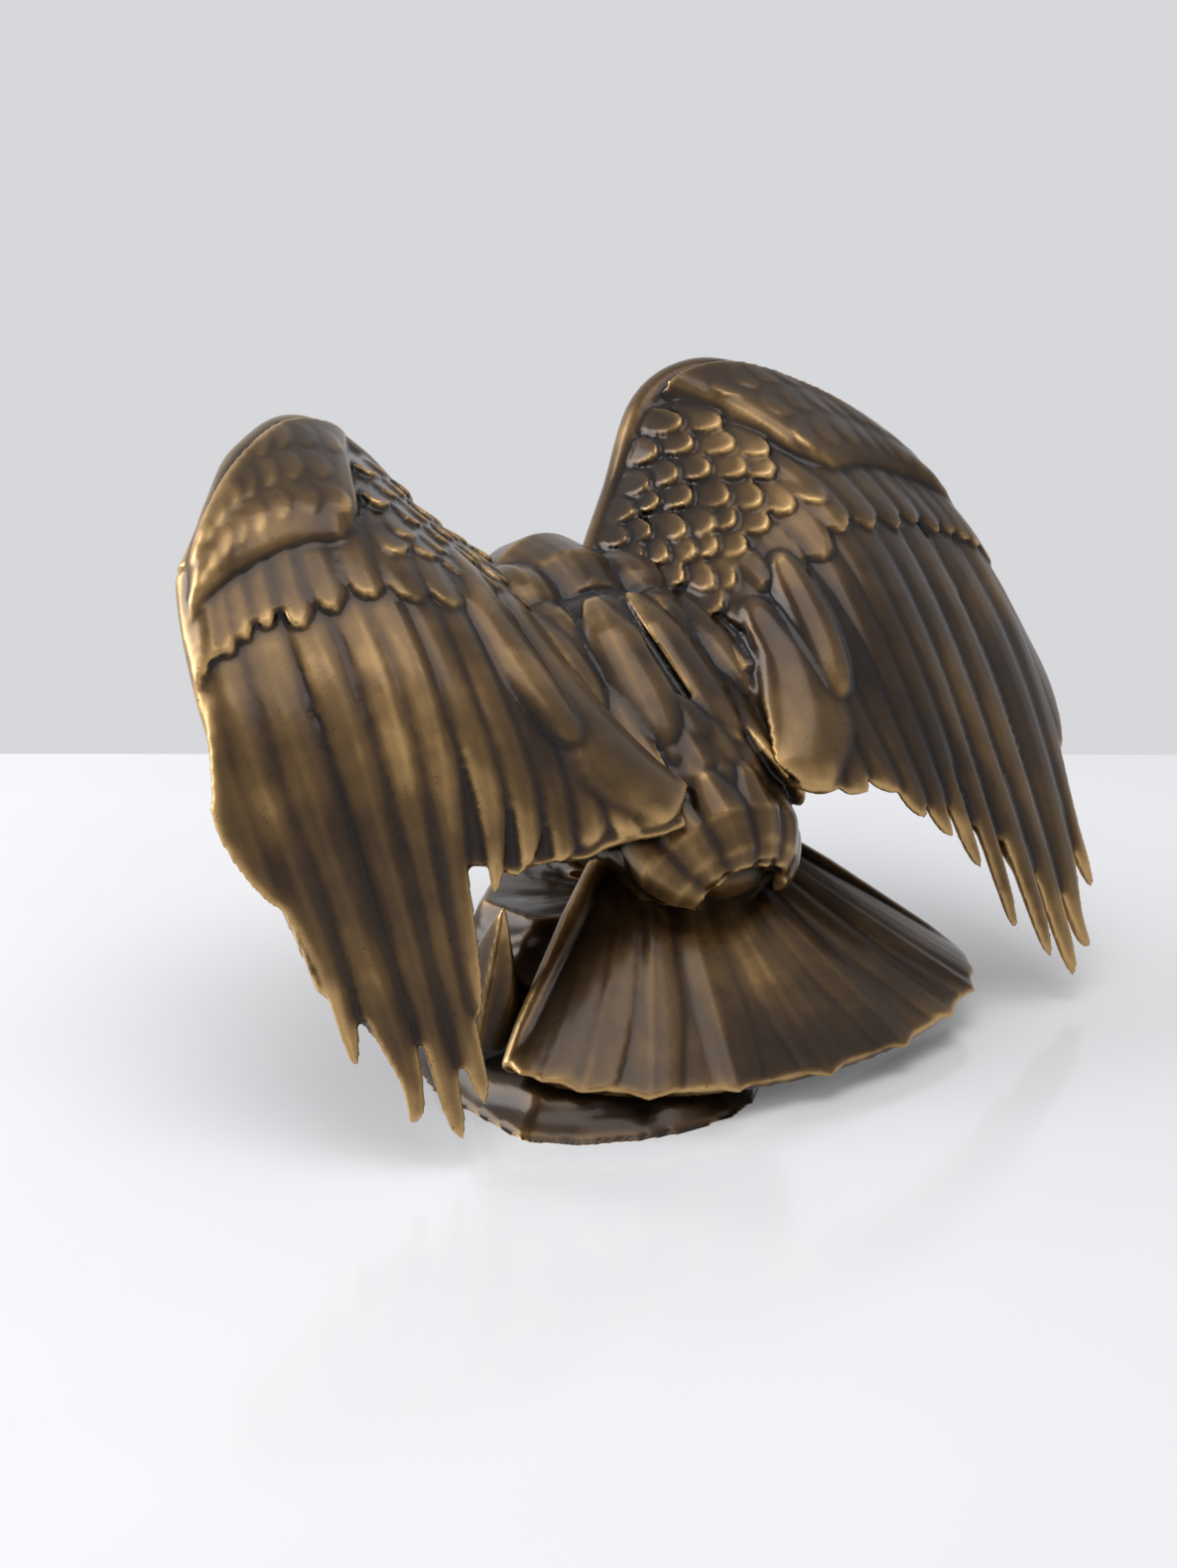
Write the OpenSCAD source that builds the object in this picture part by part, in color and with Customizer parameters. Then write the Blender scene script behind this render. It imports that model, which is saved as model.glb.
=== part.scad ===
// Eagle hood ornament: a cast bird with raised wings on a hollow rock pedestal.
// Frame: +Z up, the bird faces -Y, its left wing is at +X.
// The origin is the bottom centre of the whole ornament, on the plane it stands on.
// All sizes are millimetres.

/* [Wings] */
// How much lower the left wrist is cast than the right one
left_wrist_drop = 5; // [0:0.5:12]
// Thickness of a wing in the middle of its feathers
wing_t = 4.6; // [3:0.2:8]
// Extra thickness of the rounded leading edge
wing_lead_t = 9; // [4:0.5:14]
// Thickness of a wing at the feather tips
wing_tip_t = 2.4; // [1.5:0.1:4]
// Radius of the round seat where a wing meets the body
wing_seat_r = 13; // [8:0.5:18]
// Radius of the spigot that plugs a wing into the body
wing_spigot_r = 5; // [3:0.5:7]
// Height of the spigot axis above the table
wing_spigot_z = 80; // [70:1:90]
// Position of the spigot axis along the bird
wing_spigot_y = -24; // [-35:1:-10]
// Distance of the wing seat from the middle plane of the bird
wing_seat_x = 14; // [10:0.5:18]

/* [Body] */
// Height of the middle of the torso
torso_z = 54; // [48:1:60]
// Downward tilt of the torso towards the tail, in degrees
torso_tilt = 30.3; // [20:0.1:40]
// Largest radius of the torso
torso_r = 26.5; // [22:0.5:30]
// Radius of the head
head_r = 12.5; // [10:0.5:16]
// Position of the tip of the beak along the bird
bird_front_y = -70; // [-76:1:-64]

/* [Tail] */
// Half width of the tail fan
tail_half_w = 60; // [40:1:70]
// Rearmost point of the tail fan
tail_end_y = 70; // [60:1:80]
// Position along the bird of the corners of the fan
tail_corner_y = 40; // [30:1:50]
// Height of the middle of the tail's rear edge
tail_end_z = 5; // [4:0.5:12]
// Height of the tail's corners
tail_corner_z = 10.5; // [8:0.5:16]
// Height of the tail's root
tail_root_z = 43; // [38:0.5:46]
// Position along the bird of the tail's root
tail_root_y = 15; // [12:0.5:22]
// Thickness of the tail's rear edge
tail_t = 2.6; // [2:0.1:4]

/* [Rock pedestal] */
// Height of the flat where the feet stand
rock_top_z = 29; // [24:0.5:32]
// Thickness of the cast wall
rock_wall = 4; // [3:0.5:6]
// Height of the crag beside the tail
crag_z = 38; // [30:1:44]
// Radius of the threaded mounting hole, for an M8 stud
mount_r = 4; // [3:0.5:5]
// Length of the threaded mounting hole
mount_len = 14; // [10:1:20]
// Radius of the boss around the mounting hole
mount_boss_r = 8; // [6:0.5:12]
// Position of the mounting hole across the bird
mount_x = 16; // [0:1:24]
// Position of the mounting hole along the bird
mount_y = 10; // [6:1:14]

/* [Legs and fasteners] */
// Distance of each leg from the middle plane
leg_x = 12; // [8:0.5:16]
// Position of the legs along the bird
leg_y = -6; // [-14:0.5:6]
// Radius of the threaded shank below each foot, M6
shank_r = 3; // [2:0.5:4]
// Radius of the spigot that enters the body above each leg
leg_spigot_r = 4; // [3:0.5:5]
// Width across the flats of the shank nuts
nut_af = 10; // [8:0.5:13]
// Height of the shank nuts
nut_h = 5; // [4:0.5:6]
// Radius of the shank washers
washer_r = 6; // [5:0.5:8]
// Thickness of the shank washers
washer_t = 1.2; // [0.8:0.1:2]
// Radius of the set screws and of the tail screw, M4
screw_r = 2; // [1.5:0.5:3]

/* [Show] */
// The sub-part to draw, or all of them

/* [Hidden] */
$fn = 48;
slack = 0.04;
seam = 0.25;
bronze = [0.42, 0.33, 0.20];
steel = [0.62, 0.63, 0.65];

// One row per guide feather, from the body outwards: root, middle and tip of the wing surface.
feather_rows = [
    [[14, -42, 94], [24, 5, 80], [20, 40, 52]],
    [[26, -50, 106], [38, 0, 92], [36, 42, 49]],
    [[40, -56, 124], [56, 0, 98], [50, 46, 38]],
    [[56, -54, 131], [76, 2, 92], [62, 54, 20]],
    [[72, -45, 127], [91, 6, 82], [73, 55, 11]],
    [[86, -33, 118], [99, 8, 76], [82, 55, 8]],
    [[96, -24, 108], [103, 8, 72], [96, 44, 21]],
];

// Share of its full length that each feather reaches, by u. The left wing's inner ones are shorter.
full_reach = [[0, 1], [1, 1]];
left_reach = [[0, 1], [0.2, 0.98], [0.33, 0.92], [0.42, 0.9], [0.52, 0.94], [0.65, 1], [1, 1]];

wing_u_steps = 18;
wing_v_steps = 14;

tail_u_steps = 16;
tail_v_steps = 8;
tail_root_half_w = 21;
tail_cut_y = tail_root_y - 2;
tail_slope = atan2(tail_root_z - tail_end_z, tail_end_y - tail_root_y);
tail_screw_y = 20;
tail_screw_z = tail_root_z - (tail_screw_y - tail_root_y) * tan(tail_slope);
tail_root_t = 6;
tail_screw_seat_z = tail_screw_z - 3.2;
tail_screw_head_r = 3.6;

// Outline of the rock on the table, seen from above, and of the flat on its top.
rock_foot = [[64, 53], [55, 61], [44, 65.5], [33, 67], [22, 66], [13, 62], [-8, 40], [-27, 13],
             [-33, -8], [-27, -24], [0, -32], [35, -28], [60, -8], [67, 22]];
rock_flat = [[36, 14], [20, 20], [2, 21], [-14, 12], [-21, -4], [-18, -17], [2, -22], [26, -19], [40, -4]];
crag_foot = [[61, 28], [50, 31], [44, 20], [46, 2], [60, 6]];
crag_tip = [50, 24];

shank_bottom_z = 8;
boss_top_z = rock_top_z - 2;
shank_boss_z = 18;
thigh_r = 5;
thigh_top_z = rock_top_z + 9.3;
belly_z = rock_top_z + 5.2;

function lerp(a, b, t) = a + (b - a) * t;

// A smooth curve through a list of points.
function through(p, t) =
    let (n = len(p) - 1, s = min(max(t, 0), 1) * n, i = min(floor(s), n - 1), f = s - i,
         a = p[max(i - 1, 0)], b = p[i], c = p[i + 1], d = p[min(i + 2, n)])
    0.5 * (2 * b + (c - a) * f + (2 * a - 5 * b + 4 * c - d) * f * f
           + (3 * b - 3 * c + d - a) * f * f * f);

// The wing surface: u runs from the body to the outermost feather, v from root to tip.
function wing_point(u, v, drop) =
    let (root = through([for (r = feather_rows) r[0]], u) - [0, 0, drop * min(1, 3 * u)],
         mid = through([for (r = feather_rows) r[1]], u) - [0, 0, drop * 0.4 * min(1, 3 * u)],
         tip = through([for (r = feather_rows) r[2]], u),
         pull = 2 * mid - (root + tip) / 2)
    (1 - v) * (1 - v) * root + 2 * v * (1 - v) * pull + v * v * tip;

function unit(a) = a / norm(a);

function wing_normal(u, v, drop) =
    let (e = 0.02, u0 = max(u - e, 0), u1 = min(u + e, 1), v0 = max(v - e, 0), v1 = min(v + e, 1))
    unit(cross(wing_point(u1, v, drop) - wing_point(u0, v, drop),
               wing_point(u, v1, drop) - wing_point(u, v0, drop)));

// The leading edge is a thick round roll and the feathers thin out towards their tips.
function wing_depth(v) =
    v < 0.12 ? wing_t + (wing_lead_t - wing_t) * sin(90 * (1 - v / 0.12)) * 0.6 : lerp(wing_t, wing_tip_t, v);

function wing_loop(u, drop, reach) = concat(
    [for (j = [0 : wing_v_steps]) let (v = j / wing_v_steps * lookup(u, reach))
        wing_point(u, v, drop)],
    [for (j = [wing_v_steps : -1 : 0]) let (v = j / wing_v_steps * lookup(u, reach))
        wing_point(u, v, drop) - wing_normal(u, v, drop) * wing_depth(v)]);

function tail_point(u, v) =
    let (root = [tail_root_half_w * u, tail_root_y, tail_root_z - 2 * u * u],
         rim = [tail_half_w * sin(90 * u),
                tail_corner_y + (tail_end_y - tail_corner_y) * cos(90 * u),
                tail_end_z + (tail_corner_z - tail_end_z) * (1 - cos(90 * u))])
    lerp(root, rim, v);

function tail_loop(u) = concat(
    [for (j = [0 : tail_v_steps]) tail_point(u, j / tail_v_steps)],
    [for (j = [tail_v_steps : -1 : 0]) let (v = j / tail_v_steps)
        tail_point(u, v) - [0, 0, lerp(tail_root_t, tail_t, min(1, v * 2))]]);

// Joins closed loops of equal length into one solid skin with strip ends.
module skin(loops) {
    n = len(loops[0]);
    m = len(loops);
    half = n / 2;
    polyhedron(
        points = [for (q = loops) each q],
        faces = concat(
            [for (i = [0 : m - 2], j = [0 : n - 1])
                [i * n + j, i * n + (j + 1) % n, (i + 1) * n + (j + 1) % n]],
            [for (i = [0 : m - 2], j = [0 : n - 1])
                [i * n + j, (i + 1) * n + (j + 1) % n, (i + 1) * n + j]],
            [for (j = [0 : half - 2]) [j, n - 1 - j, n - 2 - j]],
            [for (j = [0 : half - 2]) [j, n - 2 - j, j + 1]],
            [for (j = [0 : half - 2]) let (o = (m - 1) * n) [o + j, o + n - 2 - j, o + n - 1 - j]],
            [for (j = [0 : half - 2]) let (o = (m - 1) * n) [o + j, o + j + 1, o + n - 2 - j]]));
}

module along_x(r, x0, x1) {
    translate([x0, wing_spigot_y, wing_spigot_z])
        rotate([0, 90, 0])
            cylinder(r = r, h = x1 - x0);
}

module both_sides() {
    children();
    mirror([1, 0, 0]) children();
}

// The torso is a spindle turned about its own sloping axis.
module torso() {
    translate([0, 0, torso_z])
        rotate([-90 - torso_tilt, 0, 0])
            rotate_extrude()
                polygon([[0, -52], [12, -48], [20, -40], [25, -29], [torso_r, -16], [torso_r - 1.5, 0],
                         [23, 12], [20.5, 23], [15, 33], [8, 38], [0, 40]]);
}

// Head, lowered in front of the chest, with a short hooked beak.
module head() {
    beak_slope = 105;
    beak_len = 10;
    beak_tip_r = 1.2;
    beak_root_y = bird_front_y + beak_len * sin(beak_slope) - beak_tip_r * cos(beak_slope);
    translate([0, beak_root_y + 6, 79]) sphere(r = head_r);
    translate([0, -38, 80])
        rotate([75, 0, 0])
            cylinder(r1 = 15, r2 = head_r - 1.5, h = 16);
    translate([0, beak_root_y, 77])
        rotate([beak_slope, 0, 0])
            cylinder(r1 = 6, r2 = beak_tip_r, h = beak_len);
}

// Everything on the far side of the tail's upper face is cut from the rump.
module tail_slot() {
    translate([-40, tail_cut_y, tail_root_z + 1.6])
        rotate([-tail_slope, 0, 0])
            translate([0, 0, -60])
                cube([80, 80, 60]);
}

module body() {
    color(bronze)
        difference() {
            union() {
                torso();
                head();
            }
            tail_slot();
            translate([-60, -80, 0]) cube([120, 160, belly_z]);
            both_sides() {
                along_x(wing_seat_r + seam, wing_seat_x, 50);
                along_x(wing_spigot_r + slack, 2.5, 30);
                translate([8, wing_spigot_y, 20])
                    cylinder(r = screw_r + slack, h = wing_spigot_z - 22);
                translate([leg_x, leg_y, 0])
                    cylinder(r = leg_spigot_r + slack, h = 50);
                translate([leg_x, leg_y, 0])
                    cylinder(r = thigh_r + slack, h = thigh_top_z + slack);
            }
            translate([0, tail_screw_y, tail_screw_z - 4])
                cylinder(r = screw_r + slack, h = 15);
        }
}

module wing(drop, reach) {
    difference() {
        union() {
            skin([for (i = [0 : wing_u_steps]) wing_loop(i / wing_u_steps, drop, reach)]);
            along_x(wing_seat_r, wing_seat_x + seam, 30);
            along_x(wing_spigot_r, 3, 16);
        }
        translate([8, wing_spigot_y, wing_spigot_z - wing_spigot_r - 1])
            cylinder(r = screw_r + slack, h = 2.5);
    }
}

module left_wing() {
    color(bronze) wing(left_wrist_drop, left_reach);
}

module right_wing() {
    color(bronze) mirror([1, 0, 0]) wing(0, full_reach);
}

module tail() {
    color(bronze)
        difference() {
            skin([for (i = [0 : tail_u_steps]) tail_loop(-1 + 2 * i / tail_u_steps)]);
            translate([0, tail_screw_y, tail_screw_z - 20])
                cylinder(r = screw_r + 0.3, h = 30);
            translate([0, tail_screw_y, tail_screw_seat_z - 12])
                cylinder(r = tail_screw_head_r + 0.2, h = 12);
        }
}

// Thigh, shank and foot with three toes forward and one back.
module leg() {
    toe_z = rock_top_z + 2.6;
    translate([leg_x, leg_y, 0]) {
        translate([0, 0, rock_top_z + 0.3]) cylinder(r = thigh_r, h = thigh_top_z - rock_top_z - 0.3);
        translate([0, 0, 30]) cylinder(r = leg_spigot_r, h = 18);
        translate([0, 0, shank_bottom_z]) cylinder(r = shank_r, h = rock_top_z - shank_bottom_z + 1);
        for (turn = [-28, 0, 28, 180])
            rotate([0, 0, turn])
                translate([0, 0, toe_z]) {
                    rotate([90, 0, 0]) cylinder(r1 = 2.2, r2 = 1.8, h = 11);
                    translate([0, -11, 0]) sphere(r = 2);
                    translate([0, -11, 0]) rotate([112, 0, 0]) cylinder(r1 = 1.7, r2 = 0.5, h = 5);
                }
    }
}

module left_leg() {
    color(bronze) leg();
}

module right_leg() {
    color(bronze) mirror([1, 0, 0]) leg();
}

// The rock without its hollow; shrink insets every face for the hollow.
module rock_mass(shrink) {
    hull() {
        translate([0, 0, shrink > 0 ? -1 : 0])
            linear_extrude(1.2)
                offset(delta = -shrink) polygon(rock_foot);
        translate([0, 0, rock_top_z - 1.2 - shrink])
            linear_extrude(1.2)
                offset(delta = -shrink) polygon(rock_flat);
    }
}

module crag() {
    hull() {
        translate([0, 0, 2]) linear_extrude(1) polygon(crag_foot);
        translate([crag_tip[0], crag_tip[1], crag_z - 2]) sphere(r = 2);
    }
}

module rock_base() {
    color(bronze)
        difference() {
            union() {
                difference() {
                    union() {
                        rock_mass(0);
                        crag();
                    }
                    rock_mass(rock_wall);
                }
                translate([mount_x, mount_y, 2]) cylinder(r = mount_boss_r, h = boss_top_z - 2);
                both_sides()
                    translate([leg_x, leg_y, shank_boss_z])
                        cylinder(r = 7, h = boss_top_z - shank_boss_z);
            }
            translate([mount_x, mount_y, 1]) cylinder(r = mount_r, h = mount_len + 1);
            both_sides()
                translate([leg_x, leg_y, 1]) cylinder(r = shank_r + slack, h = 40);
        }
}

module shank_washers() {
    color(steel)
        both_sides()
            translate([leg_x, leg_y, shank_boss_z - washer_t])
                difference() {
                    cylinder(r = washer_r, h = washer_t);
                    translate([0, 0, -1]) cylinder(r = shank_r + 0.2, h = washer_t + 2);
                }
}

module shank_nuts() {
    color(steel)
        both_sides()
            translate([leg_x, leg_y, shank_boss_z - washer_t - nut_h])
                difference() {
                    cylinder(r = nut_af / 2 / cos(30), h = nut_h, $fn = 6);
                    translate([0, 0, -1]) cylinder(r = shank_r + slack, h = nut_h + 2);
                }
}

module wing_set_screws() {
    color(steel)
        both_sides()
            translate([8, wing_spigot_y, wing_spigot_z - wing_spigot_r - 9])
                difference() {
                    cylinder(r = screw_r, h = 10);
                    translate([0, 0, -1]) cylinder(r = 1.1, h = 3.5, $fn = 6);
                }
}

module tail_screw() {
    head_h = 3;
    color(steel)
        translate([0, tail_screw_y, 0])
            difference() {
                union() {
                    translate([0, 0, tail_screw_seat_z - head_h])
                        cylinder(r = tail_screw_head_r, h = head_h);
                    translate([0, 0, tail_screw_seat_z - 1])
                        cylinder(r = screw_r, h = tail_screw_z + 10 - tail_screw_seat_z);
                }
                translate([0, 0, tail_screw_seat_z - head_h - 1]) cylinder(r = 1.5, h = 2.8, $fn = 6);
            }
}

body();
left_wing();
right_wing();
tail();
left_leg();
right_leg();
rock_base();
shank_washers();
shank_nuts();
wing_set_screws();
tail_screw();
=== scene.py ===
# Looks of the eagle hood ornament: each casting is sculpted as overlapping feathers, fused to one
# skin, and given a dark lacquered patina that is worn to gold on its high spots.
import math
import bpy
import numpy as np
from mathutils import Matrix, Vector


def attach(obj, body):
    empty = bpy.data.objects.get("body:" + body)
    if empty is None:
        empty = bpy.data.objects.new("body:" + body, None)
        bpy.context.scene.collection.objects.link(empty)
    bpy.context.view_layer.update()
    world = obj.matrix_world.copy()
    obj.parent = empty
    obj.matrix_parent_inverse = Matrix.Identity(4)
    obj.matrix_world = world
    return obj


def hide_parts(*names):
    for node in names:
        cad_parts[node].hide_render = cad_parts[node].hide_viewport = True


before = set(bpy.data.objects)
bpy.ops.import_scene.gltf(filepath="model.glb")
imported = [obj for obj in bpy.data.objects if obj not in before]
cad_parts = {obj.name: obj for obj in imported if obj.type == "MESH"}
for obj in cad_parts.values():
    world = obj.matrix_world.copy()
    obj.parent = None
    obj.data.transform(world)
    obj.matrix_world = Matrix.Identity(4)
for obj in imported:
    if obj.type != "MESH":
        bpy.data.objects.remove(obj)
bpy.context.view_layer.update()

MM = 0.001
# The size of the voxels that fuse the clay, in mm: the wings' keeps each under 200,000 faces.
VOXEL = 0.6
WING_VOXEL = max(VOXEL, 0.68)
ROCK_VOXEL = 0.8
LEFT_WRIST_DROP = 5.0
rng = np.random.default_rng(7)

# ---------------------------------------------------------------- curves and surfaces, in mm

# One row per guide feather, from the body outwards: root, middle and tip of the wing surface.
FEATHER_ROWS = np.array([
    [[14, -42, 94], [24, 5, 80], [20, 40, 52]],
    [[26, -50, 106], [38, 0, 92], [36, 42, 49]],
    [[40, -56, 124], [56, 0, 98], [50, 46, 38]],
    [[56, -54, 131], [76, 2, 92], [62, 54, 20]],
    [[72, -45, 127], [91, 6, 82], [73, 55, 11]],
    [[86, -33, 118], [99, 8, 76], [82, 55, 8]],
    [[96, -24, 108], [103, 8, 72], [96, 44, 21]],
], float)


def through(points, t):
    """A smooth curve through points, straight beyond its ends."""
    points = np.asarray(points, float)
    last = len(points) - 1
    s = np.asarray(t, float) * last
    i = np.clip(np.floor(s).astype(int), 0, last - 1)
    f = np.clip(s - i, 0, 1)[..., None]
    a, b = points[np.maximum(i - 1, 0)], points[i]
    c, d = points[i + 1], points[np.minimum(i + 2, last)]
    inside = 0.5 * (2 * b + (c - a) * f + (2 * a - 5 * b + 4 * c - d) * f ** 2
                    + (3 * b - 3 * c + d - a) * f ** 3)
    before = np.minimum(s, 0)[..., None] * (points[1] - points[0])
    after = np.maximum(s - last, 0)[..., None] * (points[-1] - points[-2])
    return inside + before + after


def ramp(x, xs, ys):
    """Straight lines between the given values, level beyond their ends."""
    return np.interp(x, xs, ys)


class Surface:
    """A surface of two coordinates, whose normal points outwards."""

    def __init__(self, place, step=0.01):
        self.place = place
        self.step = step

    def at(self, u, v):
        u, v = np.broadcast_arrays(np.asarray(u, float), np.asarray(v, float))
        e = self.step
        point = self.place(u, v)
        du = (self.place(u + e, v) - self.place(u - e, v)) / (2 * e)
        dv = (self.place(u, v + e) - self.place(u, v - e)) / (2 * e)
        normal = np.cross(du, dv)
        normal /= np.linalg.norm(normal, axis=-1, keepdims=True) + 1e-9
        return point, normal, np.linalg.norm(du, axis=-1), np.linalg.norm(dv, axis=-1)


def wing_surface(drop):
    def place(u, v):
        low = drop * np.clip(3 * u, 0, 1)[..., None] * np.array([0, 0, 1.0])
        root = through(FEATHER_ROWS[:, 0], u) - low
        middle = through(FEATHER_ROWS[:, 1], u) - 0.4 * low
        tip = through(FEATHER_ROWS[:, 2], u)
        pull = 2 * middle - (root + tip) / 2
        v = v[..., None]
        return (1 - v) ** 2 * root + 2 * v * (1 - v) * pull + v * v * tip
    return Surface(place)


TAIL_HALF_W, TAIL_END_Y, TAIL_CORNER_Y = 60, 70, 40
TAIL_END_Z, TAIL_CORNER_Z = 5, 10.5
TAIL_ROOT_Y, TAIL_ROOT_Z, TAIL_ROOT_HALF_W = 15, 43, 21


def tail_place(u, v):
    a = np.radians(90 * u)
    root = np.stack([TAIL_ROOT_HALF_W * u, TAIL_ROOT_Y + 0 * u, TAIL_ROOT_Z - 2 * u * u], -1)
    rim = np.stack([TAIL_HALF_W * np.sin(a),
                    TAIL_CORNER_Y + (TAIL_END_Y - TAIL_CORNER_Y) * np.cos(a),
                    TAIL_END_Z + (TAIL_CORNER_Z - TAIL_END_Z) * (1 - np.cos(a))], -1)
    v = v[..., None]
    return root + (rim - root) * v


tail_surface = Surface(tail_place)

# The torso is a spindle about a sloping axis: v runs along it from the neck, u turns round it.
TORSO_MID = np.array([0, 0, 54.0])
TORSO_TILT = math.radians(30.3)
TORSO_AXIS = np.array([0, math.cos(TORSO_TILT), -math.sin(TORSO_TILT)])
TORSO_UP = np.array([0, math.sin(TORSO_TILT), math.cos(TORSO_TILT)])
TORSO_LEFT = np.array([1.0, 0, 0])
TORSO_S = [-52, -48, -40, -29, -16, 0, 12, 23, 33, 38, 40]
TORSO_R = [11, 13, 20, 25, 26, 24.5, 22.5, 20.5, 17.5, 13, 8]


def torso_place(u, v):
    """u in turns from the top of the back towards the bird's left, v in mm along the axis."""
    r = ramp(v, TORSO_S, TORSO_R)[..., None]
    a = (u * 2 * math.pi)[..., None]
    outwards = np.cos(a) * TORSO_UP + np.sin(a) * TORSO_LEFT
    return TORSO_MID + TORSO_AXIS * v[..., None] + r * outwards


torso_surface = Surface(torso_place, 0.02)


# ---------------------------------------------------------------- closed solids for the sculpts

class Clay:
    """Closed shells that overlap, to be fused to one skin."""

    def __init__(self):
        self.points, self.faces, self.count = [], [], 0

    def loops(self, rows):
        """Loops with equally many points, joined to a closed tube whose ends are fans."""
        rows = np.asarray(rows, float)
        n, k = rows.shape[:2]
        start = self.count
        self.points.append(rows.reshape(-1, 3))
        i, j = np.meshgrid(np.arange(n - 1), np.arange(k), indexing="ij")
        a = start + i * k + j
        b = start + i * k + (j + 1) % k
        quads = np.stack([a, b, b + k, a + k], -1).reshape(-1, 4)
        self.faces.extend(quads.tolist())
        ends = rows[[0, -1]].mean(1)
        self.points.append(ends)
        first, last = start + n * k, start + n * k + 1
        end_ring = start + (n - 1) * k
        for q in range(k):
            p = (q + 1) % k
            self.faces.append([first, start + p, start + q])
            self.faces.append([last, end_ring + q, end_ring + p])
        self.count += n * k + 2

    def tube(self, spine, radii, sides=14, up=(0, 0, 1)):
        """A round tube along a spine, with a radius at every point."""
        spine = np.asarray(spine, float)
        radii = np.broadcast_to(np.asarray(radii, float), len(spine))
        along = np.gradient(spine, axis=0)
        along /= np.linalg.norm(along, axis=1, keepdims=True)
        side = np.cross(along, np.asarray(up, float))
        side /= np.linalg.norm(side, axis=1, keepdims=True) + 1e-9
        top = np.cross(side, along)
        a = np.linspace(0, 2 * np.pi, sides, endpoint=False)
        ring = np.cos(a)[None, :, None] * side[:, None] + np.sin(a)[None, :, None] * top[:, None]
        self.loops(spine[:, None] + ring * radii[:, None, None])

    def egg(self, centre, radii, turn=0.0, sides=20):
        """An ellipsoid, its rear end tipped down by turn degrees."""
        t = np.linspace(-0.99, 0.99, sides) * np.pi / 2
        a = np.linspace(0, 2 * np.pi, sides, endpoint=False)
        along = np.broadcast_to(np.sin(t)[:, None], (sides, sides))
        ring = np.stack([np.cos(t)[:, None] * np.cos(a), along, np.cos(t)[:, None] * np.sin(a)], -1)
        ring = ring * np.asarray(radii, float)
        c, s = math.cos(math.radians(turn)), math.sin(math.radians(turn))
        tip = np.array([[1, 0, 0], [0, c, -s], [0, s, c]])
        self.loops(ring @ tip + np.asarray(centre, float))

    def feather(self, surface, path, width, rise=1.0, lift=0.0, tilt=0.0, depth=1.6, quill=0.25,
                blunt=0.16, rim=0.0, base=0.0, across=11):
        """A long vaned feather laid on a surface.

        path: (u, v) along its quill; width: half width in mm at the start, the widest part and
        the tip; rise: crown in mm; lift: height of its tip above the surface; tilt: how much its
        +u edge stands above the other; blunt: share of its length that the round end takes;
        rim: how much its edge is beaded; base: height of the ground under it, along its quill.
        """
        path = np.asarray(path, float)
        n = len(path)
        s = np.linspace(0, 1, n)
        mm = ramp(s, np.linspace(0, 1, len(width)), width)
        end = np.clip((s - (1 - blunt)) / blunt, 0, 1)
        mm = mm * np.sqrt(np.maximum(1 - end ** 2.2, 0.0015))
        _, _, per_u, _ = surface.at(path[:, 0], path[:, 1])
        a = np.linspace(-1, 1, across)
        u = path[:, :1] + a * (mm / per_u)[:, None]
        v = np.broadcast_to(path[:, 1:], u.shape)
        point, normal, _, _ = surface.at(u, v)
        crown = rise * (1 - np.abs(a) ** 2.4) + quill * np.exp(-(a / 0.13) ** 2) + tilt * a
        crown = crown + rim * np.exp(-((np.abs(a) - 0.86) / 0.14) ** 2)
        crown = crown * np.clip(s / 0.22, 0, 1)[:, None]
        slim = np.sqrt(np.maximum(1 - end ** 2, 0.02))[:, None] if not rim else 1 + 0 * s[:, None]
        over = lift * s[:, None] ** 1.5 + np.broadcast_to(base, n)[:, None]
        top = point + normal * ((crown * slim) + over)[..., None]
        under = point + normal * ((tilt * a - depth * np.sqrt(1.02 - a ** 2) * slim) + over)[..., None]
        self.loops(np.concatenate([top, under[:, -2:0:-1]], 1))

    def slab(self, surface, us, vs, over, under):
        """A thick sheet between two heights above the surface; heights may vary with v."""
        u, v = np.meshgrid(us, vs, indexing="ij")
        point, normal, _, _ = surface.at(u, v)
        high = np.broadcast_to(over, v.shape)[..., None]
        deep = np.broadcast_to(under, v.shape)[..., None]
        self.loops(np.concatenate([point + normal * high, (point - normal * deep)[:, ::-1]], 1))


def fuse(name, clay, voxel=VOXEL, smooth=3, flip=False):
    """One closed skin from overlapping clay, mirrored in X if flip is set; voxel is in mm."""
    points = np.concatenate(clay.points) * MM
    faces = clay.faces
    if flip:
        points = points * [-1, 1, 1]
        faces = [f[::-1] for f in faces]
    mesh = bpy.data.meshes.new(name)
    mesh.from_pydata(points.tolist(), [], faces)
    piece = bpy.data.objects.new(name, mesh)
    bpy.context.collection.objects.link(piece)
    remesh = piece.modifiers.new("remesh", "REMESH")
    remesh.mode = "VOXEL"
    remesh.voxel_size = voxel * MM
    soft = piece.modifiers.new("soften", "SMOOTH")
    soft.factor = 0.5
    soft.iterations = smooth
    graph = bpy.context.evaluated_depsgraph_get()
    done = bpy.data.meshes.new_from_object(piece.evaluated_get(graph))
    piece.modifiers.clear()
    piece.data = done
    done.name = name
    bpy.data.meshes.remove(mesh)
    for p in done.polygons:
        p.use_smooth = True
    return piece


# How many times each point is moved to the middle of its neighbours, for the two scales of relief.
FINE_STEPS, BROAD_STEPS = 6, 48


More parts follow.
